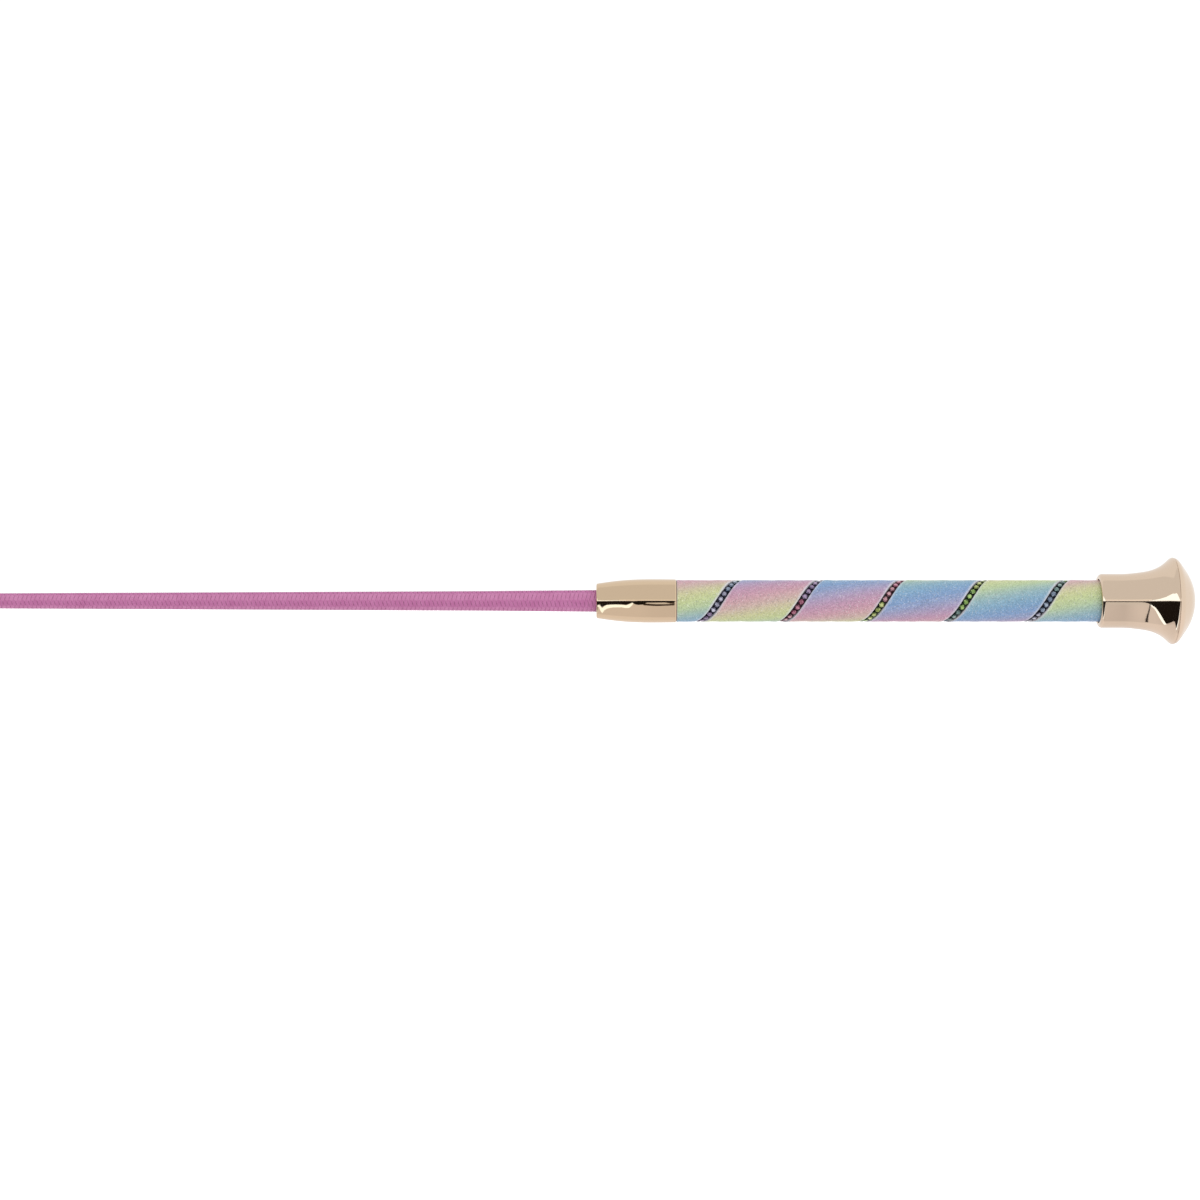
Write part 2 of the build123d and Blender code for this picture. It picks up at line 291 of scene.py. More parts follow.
black = emitter("black_card", (0.014, 0.011, 0.009), 1.0)
brown = emitter("brown_card", (0.07, 0.05, 0.035), 1.0)
bright = emitter("bright_card", (0.86, 1.0, 1.08), 1.9)
dim = emitter("dim_card", (1.0, 0.98, 0.95), 1.2)

# What the cap shows: the dark room behind the camera, its bright edge, and the tent's opening above it
card("card_room", black, level_rungs(
    (-20, -1, -4.5), (3, -1, -4.5), (6, -1, -9), (10, -1, -13), (14, -1, -19), (19, -1, -26),
    (24, -1, -38), (29, -1, -52), (33, -1, -70), (37, -1, -93), (88, -1, -93)))
card("card_edge", bright, level_rungs(
    (9.5, -13, -15), (11, -14, -20), (14, -20, -27), (18, -25, -36), (22, -34, -52),
    (27, -47, -76), (30, -56, -96), (34, -75, -96), (37, -94, -96)))
card("card_line", dim, level_rungs((-20, 1.5, 6.0), (12, 1.5, 6.0)))
card("card_wedge", bright, level_rungs(
    (8, 0.5, 1.5), (20, 0.5, 4.5), (31, 0.5, 8), (49, 0.5, 16), (61, 0.5, 28), (70, 0.5, 42),
    (80, 0.5, 48)))

# A seam of the tent near the cap, a thin dark line that leans
seam = [((10.6, -12), (9.2, -12)), ((8.8, -36), (7.2, -36)), ((6.0, -62), (4.2, -62)),
        ((3.2, -92), (1.2, -92))]
cap_centre = ((GRIP_REAR_X + 20) * MM, 0, 0)
card("card_seam", black, seam, cap_centre, SEAM_DISTANCE)

floor_material = bpy.data.materials.new("floor")
floor_material.use_nodes = True
shader = floor_material.node_tree.nodes["Principled BSDF"]
shader.inputs["Base Color"].default_value = (0.9, 0.9, 0.9, 1)
shader.inputs["Roughness"].default_value = 0.8
shader.inputs["Specular IOR Level"].default_value = 0.1
shader.inputs["Emission Color"].default_value = (1, 1, 1, 1)
shader.inputs["Emission Strength"].default_value = 0.45
# The floor is a light table, low enough for the lash to hang straight down
FLOOR_GAP = 2.0
SIDE = 60.0
floor_z = (LASH_END_X - TIP_X - FLOOR_GAP) * MM
corners = [(x, y, floor_z) for x, y in ((-SIDE, -SIDE), (SIDE, -SIDE), (SIDE, SIDE), (-SIDE, SIDE))]
floor = plain_mesh("floor", corners, [(0, 1, 2, 3)], floor_material)
floor.visible_glossy = False
floor.visible_diffuse = False
floor.visible_shadow = False


# ---------- material helpers


class Look:
    """A Principled material and short ways to add nodes to it."""

    def __init__(self, name, colour, roughness, metallic=0.0):
        self.material = bpy.data.materials.new(name)
        self.material.use_nodes = True
        self.tree = self.material.node_tree
        self.shader = self.tree.nodes["Principled BSDF"]
        self.set("Base Color", (*colour, 1))
        self.set("Roughness", roughness)
        self.set("Metallic", metallic)
        self.coords = self.add("ShaderNodeTexCoord").outputs["Object"]

    def set(self, socket, value):
        self.shader.inputs[socket].default_value = value

    def add(self, kind, **values):
        node = self.tree.nodes.new(kind)
        for key, value in values.items():
            setattr(node, key, value)
        return node

    def link(self, source, target):
        self.tree.links.new(source, target)

    def feed(self, node, index, value):
        """Links an output to an input, or sets the input."""
        if hasattr(value, "is_linked"):
            self.link(value, node.inputs[index])
        else:
            node.inputs[index].default_value = value

    def math(self, operation, *values):
        node = self.add("ShaderNodeMath", operation=operation)
        for index, value in enumerate(values):
            self.feed(node, index, value)
        return node.outputs[0]

    def noise(self, scale, detail=2.0, rough=0.5, coords=None):
        node = self.add("ShaderNodeTexNoise")
        node.inputs["Scale"].default_value = scale
        node.inputs["Detail"].default_value = detail
        node.inputs["Roughness"].default_value = rough
        self.link(coords or self.coords, node.inputs["Vector"])
        return node.outputs["Fac"]

    def stretched(self, scale):
        node = self.add("ShaderNodeMapping")
        node.inputs["Scale"].default_value = scale
        self.link(self.coords, node.inputs["Vector"])
        return node.outputs[0]

    def ramp(self, value, stops, interpolation="LINEAR"):
        node = self.add("ShaderNodeValToRGB")
        node.color_ramp.interpolation = interpolation
        elements = node.color_ramp.elements
        while len(elements) < len(stops):
            elements.new(0.5)
        for element, (place, colour) in zip(elements, stops):
            element.position = place
        for element, (place, colour) in zip(elements, stops):
            element.color = (*colour, 1)
        self.link(value, node.inputs["Fac"])
        return node.outputs["Color"]

    def spread(self, value, low, high, from_low=0.3, from_high=0.7):
        node = self.add("ShaderNodeMapRange")
        node.inputs["From Min"].default_value = from_low
        node.inputs["From Max"].default_value = from_high
        node.inputs["To Min"].default_value = low
        node.inputs["To Max"].default_value = high
        self.link(value, node.inputs["Value"])
        return node.outputs["Result"]

    def mix(self, factor, first, second, blend="MIX"):
        node = self.add("ShaderNodeMix", data_type="RGBA", blend_type=blend)
        self.feed(node, "Factor", factor)
        for index, value in ((6, first), (7, second)):
            self.feed(node, index, value if hasattr(value, "is_linked") else (*value, 1))
        return node.outputs[2]

    def bump(self, height, strength, distance):
        node = self.add("ShaderNodeBump")
        node.inputs["Strength"].default_value = strength
        node.inputs["Distance"].default_value = distance
        self.link(height, node.inputs["Height"])
        self.link(node.outputs[0], self.shader.inputs["Normal"])

    def attribute(self, name):
        return self.add("ShaderNodeAttribute", attribute_name=name).outputs["Fac"]

    def use(self, value, socket):
        """Feeds a socket of the material's shader."""
        self.link(value, self.shader.inputs[socket])


def linear(*rgb):
    """8-bit sRGB to linear."""
    values = []
    for c in rgb:
        c /= 255
        values.append(c / 12.92 if c <= 0.04045 else ((c + 0.055) / 1.055) ** 2.4)
    return tuple(values)


# ---------- mesh helpers


def put(name, points, faces, materials, body, replaced=(), smooth=True, sharp=None,
        indices=None, floats=None):
    """Makes a piece from points in millimetres; when the body is a name it is parented to that body's empty,
    otherwise it stays fixed in place.
    """
    mesh = bpy.data.meshes.new(name)
    points = np.asarray(points, float) * MM
    mesh.from_pydata(points.tolist(), [], faces if isinstance(faces, list) else faces.tolist())
    for material in materials:
        mesh.materials.append(material)
    if indices is not None:
        mesh.polygons.foreach_set("material_index", np.asarray(indices, np.int32))
    for key, (domain, values) in (floats or {}).items():
        attribute = mesh.attributes.new(key, "FLOAT", domain)
        attribute.data.foreach_set("value", np.asarray(values, np.float32))
    mesh.polygons.foreach_set("use_smooth", np.full(len(mesh.polygons), smooth))
    if sharp is not None:
        mesh.set_sharp_from_angle(angle=math.radians(sharp))
    mesh.update()
    piece = bpy.data.objects.new(name, mesh)
    scene.collection.objects.link(piece)
    if isinstance(body, str):
        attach(piece, body)
    else:
        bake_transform(piece)
    if replaced:
        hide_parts(*replaced)


def spline(points, start_tangent, end_tangent, count):
    """A smooth cubic curve through points, with unit tangents at its ends."""
    p = np.asarray(points, float)
    u = np.concatenate([[0], np.cumsum(np.linalg.norm(np.diff(p, axis=0), axis=1))])
    h = np.diff(u)
    n = len(p)
    a = np.zeros((n, n))
    b = np.zeros((n, 2))
    a[0, 0] = a[-1, -1] = 1
    b[0] = np.asarray(start_tangent, float) / np.linalg.norm(start_tangent)
    b[-1] = np.asarray(end_tangent, float) / np.linalg.norm(end_tangent)
    for i in range(1, n - 1):
        a[i, i - 1] = h[i]
        a[i, i] = 2 * (h[i - 1] + h[i])
        a[i, i + 1] = h[i - 1]
        b[i] = 3 * (h[i] * (p[i] - p[i - 1]) / h[i - 1] + h[i - 1] * (p[i + 1] - p[i]) / h[i])
    m = np.linalg.solve(a, b)
    result = []
    for v in np.linspace(0, u[-1], count):
        i = min(np.searchsorted(u, v, side="right") - 1, n - 2)
        t = (v - u[i]) / h[i]
        result.append((2 * t**3 - 3 * t**2 + 1) * p[i] + (t**3 - 2 * t**2 + t) * h[i] * m[i]
                      + (3 * t**2 - 2 * t**3) * p[i + 1] + (t**3 - t**2) * h[i] * m[i + 1])
    return [tuple(q) for q in result]


def rounded(profile, corners, steps=8):
    """A closed profile with the given corners (index: radius) turned into arcs."""
    result = []
    count = len(profile)
    for i, point in enumerate(profile):
        radius = corners.get(i, 0)
        here = np.array(point)
        if not radius:
            result.append(tuple(here))
            continue
        before, after = np.array(profile[i - 1]), np.array(profile[(i + 1) % count])
        da, db = before - here, after - here
        da, db = da / np.linalg.norm(da), db / np.linalg.norm(db)
        half = math.acos(np.clip(da @ db, -1, 1)) / 2
        reach = radius / math.tan(half)
        middle = here + (da + db) / np.linalg.norm(da + db) * radius / math.sin(half)
        while result and np.linalg.norm(np.array(result[-1]) - here) < reach * 1.02:
            result.pop()
        first, last = here + da * reach - middle, here + db * reach - middle
        turn = math.acos(np.clip(first @ last / radius**2, -1, 1))
        for k in range(steps + 1):
            t = k / steps
            q = (math.sin((1 - t) * turn) * first + math.sin(t * turn) * last) / math.sin(turn)
            result.append(tuple(middle + q))
    return result


def around(x, radius, angle):
    """Points at x, a radius from the axis, and an angle round it from the front upwards."""
    return np.stack([x, -radius * np.cos(angle), radius * np.sin(angle)], -1)


def lathe(name, profile, material, replaced, segments=192, sharp=35):
    """Turns a closed (x, r) profile round the X axis."""
    profile = np.asarray(profile, float)
    count = len(profile)
    angles = np.arange(segments) * math.tau / segments
    x = np.repeat(profile[:, 0], segments)
    r = np.repeat(profile[:, 1], segments)
    a = np.tile(angles, count)
    points = around(x, r, a)
    faces = []
    on_axis = profile[:, 1] < 1e-6
    for i in range(count):
        j = (i + 1) % count
        if on_axis[i] and on_axis[j]:
            continue
        for k in range(segments):
            m = (k + 1) % segments
            if on_axis[i]:
                faces.append([i * segments, j * segments + m, j * segments + k])
            elif on_axis[j]:
                faces.append([i * segments + k, i * segments + m, j * segments])
            else:
                faces.append([i * segments + k, i * segments + m, j * segments + m, j * segments + k])
    used = sorted({v for f in faces for v in f})
    index = {v: n for n, v in enumerate(used)}
    faces = [[index[v] for v in f] for f in faces]
    put(name, points[used], faces, [material], "whip", replaced, sharp=sharp)


def sweep(centres, first, second, section, closed=False):
    """Points and faces of a tube.

    Its section's points (a, b) go along the unit vectors first and second at each centre.
    """
    centres, first, second = (np.asarray(v, float) for v in (centres, first, second))
    section = np.asarray(section, float)
    if section.ndim == 2:
        section = np.broadcast_to(section, (len(centres), *section.shape))
    points = centres[:, None] + section[..., :1] * first[:, None] + section[..., 1:] * second[:, None]
    n, m = points.shape[:2]
    i = np.arange(n if closed else n - 1)[:, None]
    j = np.arange(m)[None]
    a = i * m + j
    b = i * m + (j + 1) % m
    c = ((i + 1) % n) * m + (j + 1) % m
    d = ((i + 1) % n) * m + j
    faces = np.stack([a, b, c, d], -1).reshape(-1, 4).tolist()
    if not closed:
        faces.append(list(range(m))[::-1])
        faces.append([(n - 1) * m + k for k in range(m)])
    return points.reshape(-1, 3), faces


def frames(path, closed=False):
    """Unit vectors across a path, turned as little as possible along it."""
    path = np.asarray(path, float)
    ahead = np.roll(path, -1, 0) - path
    tangents = ahead + (path - np.roll(path, 1, 0))
    if not closed:
        tangents[0], tangents[-1] = path[1] - path[0], path[-1] - path[-2]
    tangents /= np.linalg.norm(tangents, axis=1)[:, None]
    side = np.cross(tangents[0], (0.3, 0.9, 0.2))
    first = []
    for t in tangents:
        side = side - t * (side @ t)
        side /= np.linalg.norm(side)
        first.append(side)
    first = np.array(first)
    return first, np.cross(tangents, first)


def ring(radius, sides):
    """A circle as a section."""
    return [(radius * math.cos(math.tau * k / sides), radius * math.sin(math.tau * k / sides))
            for k in range(sides)]


def joined(parts):
    """Several (points, faces) as one."""
    points, faces, start = [], [], 0
    for p, f in parts:
        points.append(np.asarray(p, float))
        faces += [[v + start for v in face] for face in f]
        start += len(p)
    return np.concatenate(points), faces


# ---------- materials

def gold_look(name, colour):
    """Polished plating with faint waves, hairline polishing marks and uneven gloss."""
    look = Look(name, colour, 0.06, 1.0)
    look.use(look.spread(look.noise(90, 3), 0.03, 0.075), "Roughness")
    hairlines = look.noise(2400, 2, coords=look.stretched((0.15, 1, 1)))
    look.bump(look.math("ADD", look.noise(60, 1.5), look.math("MULTIPLY", hairlines, 0.003)), 0.3, 0.0006)
    return look.material


ferrule_gold = gold_look("rose_gold_ferrule", (0.675, 0.515, 0.352))
cap_gold = gold_look("rose_gold_cap", (0.70, 0.555, 0.425))


def thread_look(name, dark, middle, light):
    """Spun thread: fibres along it, uneven dye and a soft sheen."""
    look = Look(name, linear(*middle), 0.72)
    fine = look.math("MULTIPLY", look.noise(5200, 3, 0.6), 0.6)
    broad = look.math("MULTIPLY", look.noise(240, 3, 0.6), 0.4)
    tones = [(0.25, linear(*dark)), (0.5, linear(*middle)), (0.75, linear(*light))]
    look.use(look.ramp(look.math("ADD", fine, broad), tones), "Base Color")
    look.set("Sheen Weight", 0.2)
    look.set("Sheen Roughness", 0.4)
    look.set("Sheen Tint", (1.0, 0.86, 0.95, 1))
    look.set("Specular IOR Level", 0.3)
    look.bump(look.noise(9000, 2, coords=look.stretched((1.0, 0.35, 0.35))), 0.5, 0.00006)
    return look.material


pink_thread = thread_look("pink_thread", (182, 106, 152), (200, 129, 172), (214, 148, 190))
# A darker copy of the pink thread: painted shade for the strands laid one way
painted_shade_thread = thread_look("pink_thread_painted_shade", (172, 92, 142), (190, 114, 162), (206, 136, 180))

binding = Look("binding_thread", linear(168, 98, 142), 0.7)
binding_tones = [(0.3, linear(146, 80, 122)), (0.7, linear(182, 112, 156))]
binding.use(binding.ramp(binding.noise(4000, 3, 0.6), binding_tones), "Base Color")
binding.set("Sheen Weight", 0.3)
binding.set("Sheen Roughness", 0.4)
binding.bump(binding.noise(9000, 2), 0.5, 0.00005)

RAINBOW = [(.03, (139, 163, 197)), (.09, (137, 167, 196)), (.16, (144, 175, 194)), (.22, (156, 183, 189)),
           (.28, (172, 194, 181)), (.34, (188, 204, 170)), (.41, (199, 209, 165)), (.47, (204, 207, 165)),
           (.53, (204, 197, 169)), (.59, (204, 183, 174)), (.66, (202, 168, 173)), (.72, (197, 159, 174)),
           (.78, (190, 156, 177)), (.84, (179, 158, 183)), (.91, (163, 161, 190)), (.97, (148, 163, 195))]

glitter = Look("rainbow_glitter", (0.5, 0.5, 0.5), 0.42)
phase = glitter.math("FRACT", glitter.attribute("phase"))


def vivid(colour, strength=1.2):
    """The colour further from grey."""
    colour = np.array(linear(*colour))
    grey = colour @ (0.2126, 0.7152, 0.0722)
    return tuple(np.clip(grey + strength * (colour - grey), 0, 1))


rainbow = glitter.ramp(phase, [(place, vivid(colour)) for place, colour in RAINBOW])
flakes = glitter.add("ShaderNodeTexVoronoi")
flakes.inputs["Scale"].default_value = 3000
glitter.link(glitter.coords, flakes.inputs["Vector"])
flake = glitter.add("ShaderNodeSeparateXYZ")
glitter.link(flakes.outputs["Color"], flake.inputs[0])
grainy = glitter.noise(1500, 3, 0.7)
flake_value = glitter.spread(flake.outputs["X"], 0.80, 1.15, 0, 1)
value = glitter.math("ADD", flake_value, glitter.spread(grainy, -0.07, 0.07))
value_colour = glitter.add("ShaderNodeCombineColor")
for index in range(3):
    glitter.link(value, value_colour.inputs[index])
toned = glitter.mix(1.0, rainbow, value_colour.outputs[0], "MULTIPLY")
# A few flakes are painted near white, a painted sparkle; the same flakes are also made partly metallic below
shiny = glitter.math("GREATER_THAN", flake.outputs["Y"], 0.93)
sparkling = glitter.mix(glitter.math("MULTIPLY", shiny, 0.35), toned, (0.95, 0.95, 0.95))

# The strip's edges are rubbed pale, in patches
patches = glitter.spread(glitter.noise(420, 2), 0.55, 1.1)
patchy = glitter.math("MULTIPLY", glitter.spread(grainy, 0.5, 1.0), patches)
worn_edge = glitter.math("MULTIPLY", glitter.attribute("pale"), patchy)
glitter.use(glitter.mix(worn_edge, sparkling, linear(224, 225, 234)), "Base Color")
metal_flake = glitter.math("GREATER_THAN", flake.outputs["Y"], 0.85)
glitter.use(glitter.math("MULTIPLY", metal_flake, 0.6), "Metallic")
glitter.use(glitter.spread(flake.outputs["Z"], 0.22, 0.5, 0, 1), "Roughness")
glitter.set("Specular IOR Level", 0.3)

# Each flake lies at its own tilt
tilt = glitter.add("ShaderNodeVectorMath", operation="SUBTRACT")
glitter.link(flakes.outputs["Color"], tilt.inputs[0])
tilt.inputs[1].default_value = (0.5, 0.5, 0.5)
scaled = glitter.add("ShaderNodeVectorMath", operation="SCALE")
scaled.inputs["Scale"].default_value = 0.55
glitter.link(tilt.outputs[0], scaled.inputs[0])
surface = glitter.add("ShaderNodeNewGeometry")
total = glitter.add("ShaderNodeVectorMath", operation="ADD")
glitter.link(scaled.outputs[0], total.inputs[0])
glitter.link(surface.outputs["Normal"], total.inputs[1])
unit = glitter.add("ShaderNodeVectorMath", operation="NORMALIZE")
glitter.link(total.outputs[0], unit.inputs[0])
glitter.use(unit.outputs[0], "Normal")

cut_edge = Look("cut_edge", linear(226, 220, 214), 0.85)
fuzz = cut_edge.noise(3500, 3, 0.65)
cut_edge.use(cut_edge.ramp(fuzz, [(0.3, linear(160, 158, 164)), (0.65, linear(216, 214, 220))]), "Base Color")
cut_edge.bump(fuzz, 0.6, 0.0001)

tape = Look("band_tape", (0.02, 0.02, 0.028), 0.6)
weave = tape.add("ShaderNodeTexWave", wave_type="BANDS", bands_direction="X")
weave.inputs["Scale"].default_value = 1400
weave.inputs["Distortion"].default_value = 2.0
tape.link(tape.coords, weave.inputs["Vector"])
tape_tones = [(0.2, (0.012, 0.012, 0.018)), (0.8, (0.05, 0.05, 0.065))]
tape.use(tape.ramp(weave.outputs["Fac"], tape_tones), "Base Color")
tape.bump(weave.outputs["Fac"], 0.5, 0.00008)

setting = Look("setting_metal", (0.045, 0.045, 0.06), 0.28, 0.85)
worn = setting.noise(1800, 3, 0.6)
# Dark lacquer that runs with the stones' colours, and starts again after pink
LACQUER = [
    (42, 28, 56), (34, 34, 50), (24, 34, 50), (18, 40, 40), (22, 46, 10),
    (30, 46, 10), (56, 24, 34), (62, 14, 38), (42, 28, 56)]
hue = setting.math("FRACT", setting.attribute("share"))
lacquer_stops = [(index / len(COLOURS), linear(*colour)) for index, colour in enumerate(LACQUER)]
lacquer = setting.ramp(hue, lacquer_stops)
brighter = setting.mix(1.0, lacquer, (2.2, 2.2, 2.2), "MULTIPLY")
setting.use(setting.mix(setting.spread(worn, 0, 1), lacquer, brighter), "Base Color")
setting.use(setting.spread(worn, 0.18, 0.4), "Roughness")
setting.bump(setting.noise(5000, 2), 0.25, 0.00004)


def crystal_look(colour, low, middle, high):
    """Faceted glass with a foil back: the colour runs between stones, and each facet's painted light
    attribute and a noise paint highlights, glints and shade on it.
    """
    look = Look("crystal_" + colour, linear(*middle), 0.08, 0.35)
    # The facet's painted light and shade
    painted_facet_light = look.attribute("painted_facet_light")
    glint = look.noise(1500, 1)
    share = look.math("ADD", look.math("MULTIPLY", painted_facet_light, 0.75), look.math("MULTIPLY", glint, 0.25))
    tones = [(0.15, linear(*low)), (0.5, linear(*middle)), (0.85, linear(*high))]
    look.use(look.ramp(share, tones), "Base Color")
    look.use(look.spread(glint, 0.04, 0.14), "Roughness")
    look.set("Coat Weight", 0.8)
    look.set("Coat Roughness", 0.03)
    return look.material


# Each colour's dark, middle and light tones: the dark tone paints shade on the facets, the light tone paints
# their highlights
CRYSTALS = {
    "violet": ((46, 30, 66), (112, 92, 130), (196, 170, 204)),
    "lavender": ((48, 46, 72), (124, 124, 146), (212, 212, 228)),
    "blue": ((34, 46, 70), (100, 118, 142), (192, 206, 222)),
    "teal": ((22, 50, 50), (84, 116, 112), (180, 206, 198)),
    "green": ((34, 64, 16), (120, 158, 66), (200, 230, 140)),
    "yellow": ((52, 66, 16), (144, 160, 70), (226, 232, 166)),
    "rose": ((72, 26, 42), (142, 88, 102), (220, 170, 178)),
    "pink": ((84, 14, 42), (148, 70, 98), (218, 158, 178)),
}


# ---------- shaft: eight plaited strands

STRANDS = 8
STRAND_PITCH = 7.0
STRAND_WIDTH = 1.78
STRAND_THICK = 0.30
CROSSING_ANGLE = math.radians(5)
CROSSING_SHARPNESS = 1.8
LEAST_SLANT = 0.84
STATION_COUNT = 8000
STEPS_PER_TURN = 32
TIP_MARGIN = 0.1

# Half of the strand's section, in half thicknesses and half widths: two yarns side by side
YARN = [(0.95, 0.28), (1.0, 0.52), (0.5, 0.88), (-0.35, 0.95), (-0.9, 0.5)]


def cover_r(x):
    """The cover's outer radius."""
    return np.interp(x, [TIP_X, SWELL_X, NOSE_X, COVER_END_X], [TIP_R, SWELL_R, BUTT_R, BUTT_R])


def lay_length(x):
    """How far a strand runs along the shaft in one turn, so that its neighbour across is a pitch away."""
    girth = math.tau * (cover_r(x) - STRAND_THICK)
    pitch = np.minimum(STRAND_PITCH, LEAST_SLANT * girth)
    return 1 / np.sqrt(1 / pitch**2 - 1 / girth**2)


stations = np.linspace(COVER_END_X, TIP_X + TIP_MARGIN, STATION_COUNT)
between_stations = (stations[1:] + stations[:-1]) / 2
turned = np.cumsum(math.tau / lay_length(between_stations) * -np.diff(stations))
turned = np.concatenate([[0], turned])
strand_steps = int(turned[-1] / math.tau * STEPS_PER_TURN)
angle = np.linspace(0, turned[-1], strand_steps)
along = np.interp(angle, turned, stations)
half_width = STRAND_WIDTH / 2
half_thick = STRAND_THICK / 2
outline = [(0.35, 0.0)] + YARN + [(a, -b) for a, b in reversed(YARN)]
section = [(half_thick * a, half_width * b) for a, b in outline]

for strand in range(STRANDS):
    hand = 1 if strand % 2 else -1
    theta = CROSSING_ANGLE + math.pi / STRANDS + hand * angle + (strand // 2) * math.pi / 2
    wave = np.sin(STRANDS / 2 * (theta - CROSSING_ANGLE))
    level = -hand * np.tanh(CROSSING_SHARPNESS * wave) / math.tanh(CROSSING_SHARPNESS)
    radius = cover_r(along) - STRAND_THICK + (STRAND_THICK / 2) * level
    centres = around(along, radius, theta)
    outward = around(np.zeros(strand_steps), 1.0, theta)
    tangent = np.gradient(centres, axis=0)
    tangent /= np.linalg.norm(tangent, axis=1)[:, None]
    across = np.cross(tangent, outward)
    across /= np.linalg.norm(across, axis=1)[:, None]
    outward = np.cross(across, tangent)
    points, faces = sweep(centres, outward, across, section)
    # Strands laid one way take the darker copy, a painted shade on that side of the plait's pattern
    put(f"cover_strand_{strand + 1}", points, faces, [pink_thread if hand < 0 else painted_shade_thread], "whip",
        ["braided_cover"] if strand == 0 else [])

# ---------- gold ferrule and cap

FERRULE_NOSE_R = 7.5
FERRULE_REAR_R = 9.38
FERRULE_NOSE_SLOPE = 0.178
FERRULE_REAR_SLOPE = -0.012
# Outline as (distance behind the nose, radius)
FERRULE_OUTLINE = [(4.0, 8.13), (10.2, 8.88), (18.0, 9.38), (25.0, 9.47)]
FERRULE_LIP = 2.4
FERRULE_CAVITY_R = 6.4
FERRULE_HOLE_R = 4.9
FERRULE_ROUND = 0.7
HOLE_ROUND = 0.25
TUBE_GAP = 1.0

ferrule_curve = spline(
    [(NOSE_X, FERRULE_NOSE_R)] + [(NOSE_X + back, r) for back, r in FERRULE_OUTLINE]
    + [(GRIP_FRONT_X, FERRULE_REAR_R)], (1, FERRULE_NOSE_SLOPE), (1, FERRULE_REAR_SLOPE), 70)
ferrule_profile = ferrule_curve + [
    (GRIP_FRONT_X, TUBE_R), (COVER_END_X + TUBE_GAP, TUBE_R), (NOSE_X + FERRULE_LIP, FERRULE_CAVITY_R),
    (NOSE_X + FERRULE_LIP, FERRULE_HOLE_R), (NOSE_X, FERRULE_HOLE_R)]
ferrule_corners = {0: FERRULE_ROUND, len(ferrule_curve) - 1: FERRULE_ROUND,
                   len(ferrule_profile) - 1: HOLE_ROUND}
lathe("ferrule_shell", rounded(ferrule_profile, ferrule_corners), ferrule_gold, ["ferrule"])

outline_x, outline_r = np.array(ferrule_curve).T
outline_slope = np.gradient(outline_r, outline_x)
CARD_REACH = 0.03


def shows_at(distance, z):
    """Where a card must be to show this far behind the ferrule's nose, at this height on its front."""
    x = NOSE_X + distance
    r = np.interp(x, outline_x, outline_r)
    y = -math.sqrt(r**2 - z**2)
    surface = Vector((x, y, z)) * MM
    normal = Vector((-np.interp(x, outline_x, outline_slope), y / r, z / r)).normalized()
    ray = (surface - camera.location).normalized()
    return surface + ray.reflect(normal) * CARD_REACH


def ferrule_card(name, material, *spans):
    """A card whose reflection runs over the ferrule, as (distance behind the nose, top, bottom)."""
    studio_card(name, material, level_rungs(*spans), shows_at)


ferrule_card(
    "card_ferrule_dark", black,
    (0.9, -0.3, -1.2), (1.6, -0.4, -2.0), (2.4, -0.5, -2.9), (3.4, -0.5, -2.2), (4.6, -0.4, -1.75),
    (7.0, -0.45, -1.6), (11, -0.45, -1.6), (13, -0.45, -1.8), (14.3, -0.4, -1.4), (15.6, -0.2, -0.75))
ferrule_card(
    "card_ferrule_edge", bright,
    (0.9, -1.3, -2.3), (1.8, -2.3, -4.4), (2.5, -3.0, -5.3), (3.4, -2.3, -4.1), (4.6, -1.85, -3.3),
    (7.0, -1.7, -2.8), (11, -1.7, -2.8), (13, -1.9, -3.1), (14.4, -1.5, -3.0), (15.3, -0.95, -2.1),
    (16.0, -0.7, -1.2))
ferrule_card(
    "card_ferrule_rear", black,
    (15.6, -0.2, -0.75), (16.4, -0.1, -1.4), (18, 0.05, -1.75), (20.5, 0.05, -1.6), (22, 0.05, -0.8),
    (34, 0.05, -0.65))
ferrule_card(
    "card_ferrule_bar", brown,
    (20.5, -1.1, -1.9), (22, -1.2, -2.0), (26, -1.45, -2.25), (30, -1.4, -2.1), (34, -1.2, -1.9))
ferrule_card("card_ferrule_end", brown, (30, -0.65, -0.7), (32, -0.65, -1.1), (34, -0.65, -1.25))

CAP_COLLAR = 9.6
CAP_COLLAR_R = 11.75
CAP_BORE_R = 9.5
CAP_MOUTH_ROUND = 1.6
CAP_BORE_ROUND = 0.5
RIM_ROUND = 0.2
CAP_RIM_R = 18.9
# Flare's outline as (distance behind the mouth, radius)
CAP_FLARE = [(17.5, 12.35), (22.7, 13.3), (26.7, 14.95), (30.0, 17.45)]
CAP_RECESS_R = 15.2
CAP_RECESS = 2.6
CAP_STEP_R = 14.2
CAP_FLOOR_R = 10.8
CAP_WEB = 2.4
CAP_WEB_BACK = 22.4
SCREW_HOLE_R = 2.1
JOIN_GAP = 0.05

